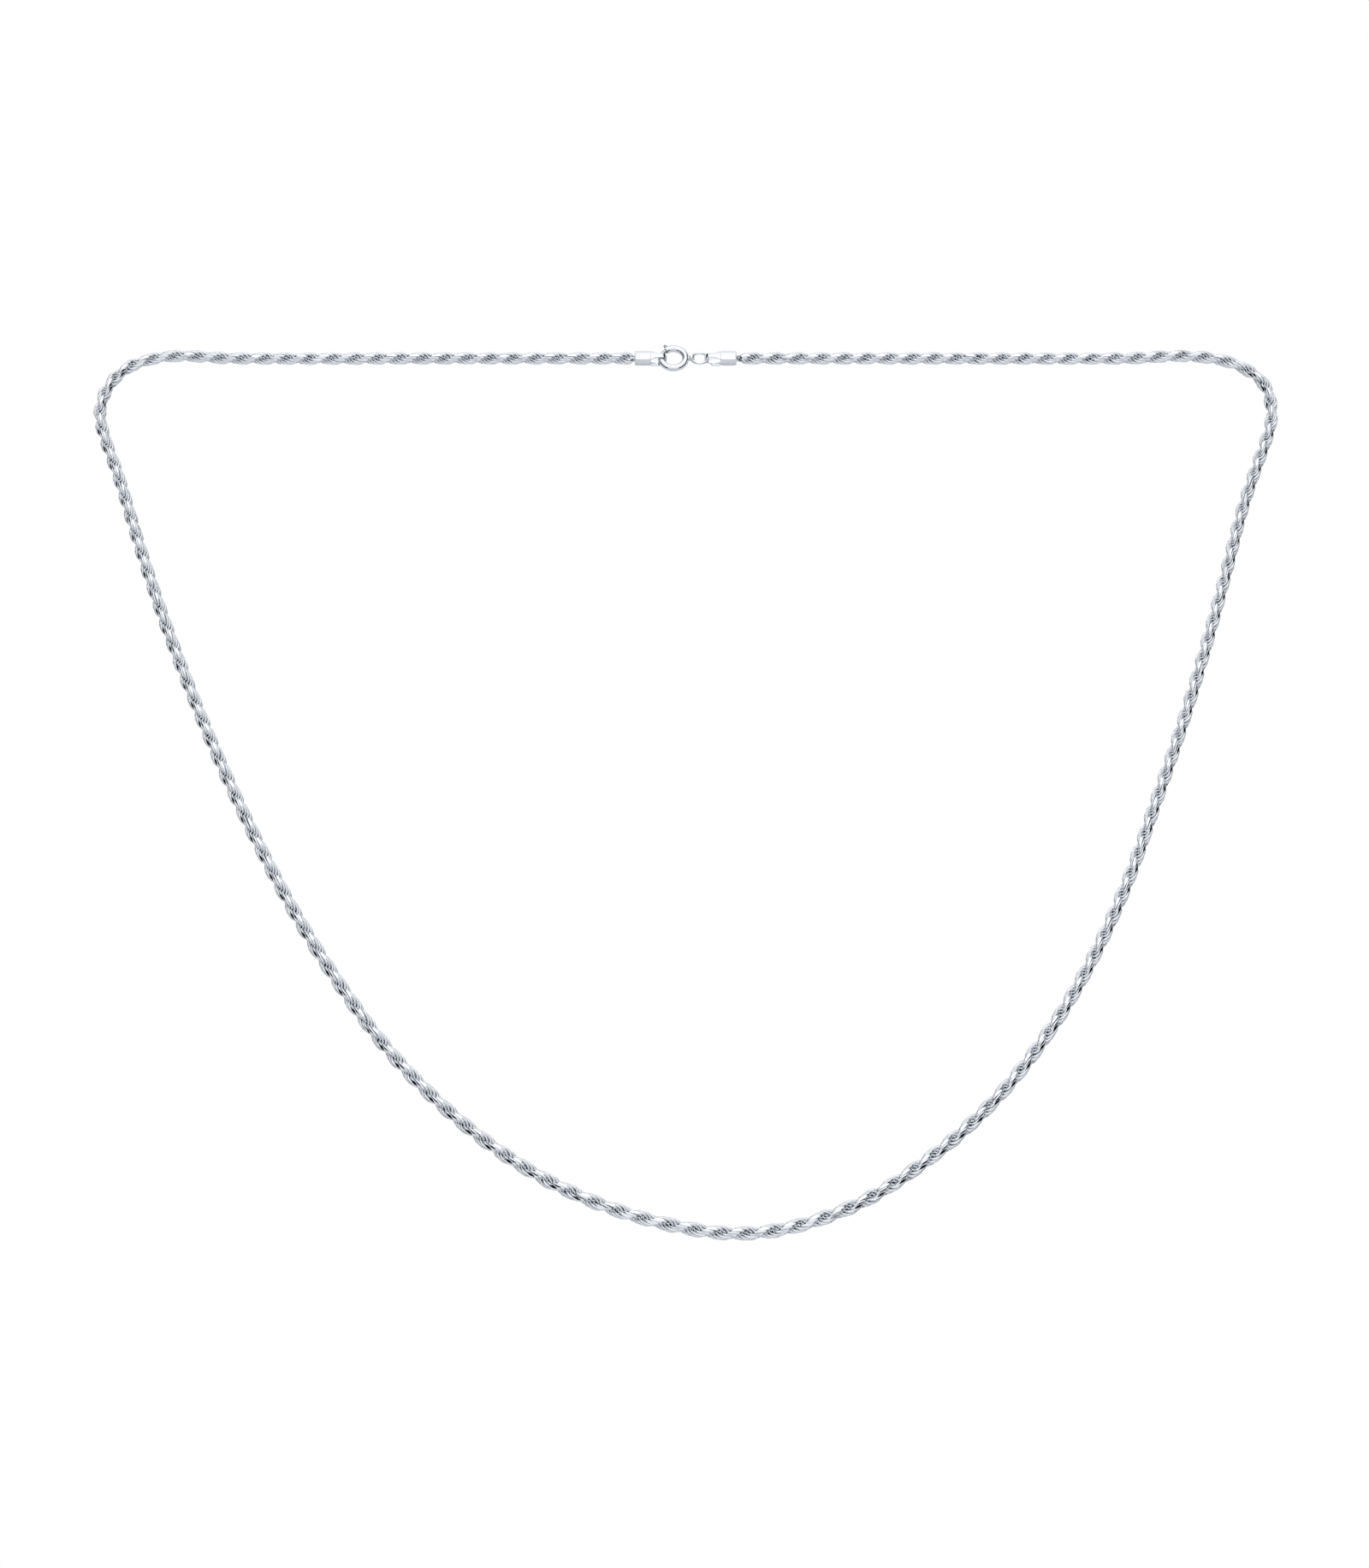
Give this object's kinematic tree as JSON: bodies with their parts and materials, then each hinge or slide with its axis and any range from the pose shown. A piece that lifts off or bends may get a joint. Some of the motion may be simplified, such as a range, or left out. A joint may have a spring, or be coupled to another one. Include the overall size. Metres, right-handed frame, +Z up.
{
  "type": "rope chain",
  "caption": "Closed necklace of diamond-cut rope chain with folded strap end caps, a spring ring clasp whose trigger slides open, and a jump ring.",
  "frame": {"origin": "on the surface that the necklace lies on, under the middle of its outline", "axes": "+X to the wearer's left as the picture shows it from the front edge, +Y from the front of the loop towards the clasp, +Z up from the surface"},
  "size_m": [0.2072, 0.1706, 0.0022],
  "materials": {
    "rope_silver": "bright polished sterling silver wire with flat diamond cuts",
    "cap_silver": "polished sterling silver sheet with soft pressed edges",
    "ring_silver": "mirror polished sterling silver tube and wire",
    "trigger_silver": "polished silver, duller where it slides"
  },
  "bodies": {
    "necklace": {"rope_chain": "rope_silver", "end_cap_left": "cap_silver", "end_cap_right": "cap_silver", "spring_ring": "ring_silver", "jump_ring": "ring_silver"},
    "trigger": {"spring_ring_trigger": "trigger_silver"}
  },
  "joints": [
    {"name": "trigger_opens", "type": "hinge", "parent": "necklace", "child": "trigger", "pos_m": [-0.0022, 0.0825, 0.0011], "axis": [0, 0, -1], "range_deg": [0, 45], "stiffness_Nm_per_rad": 0.0025, "springref_deg": -28.65}
  ]
}
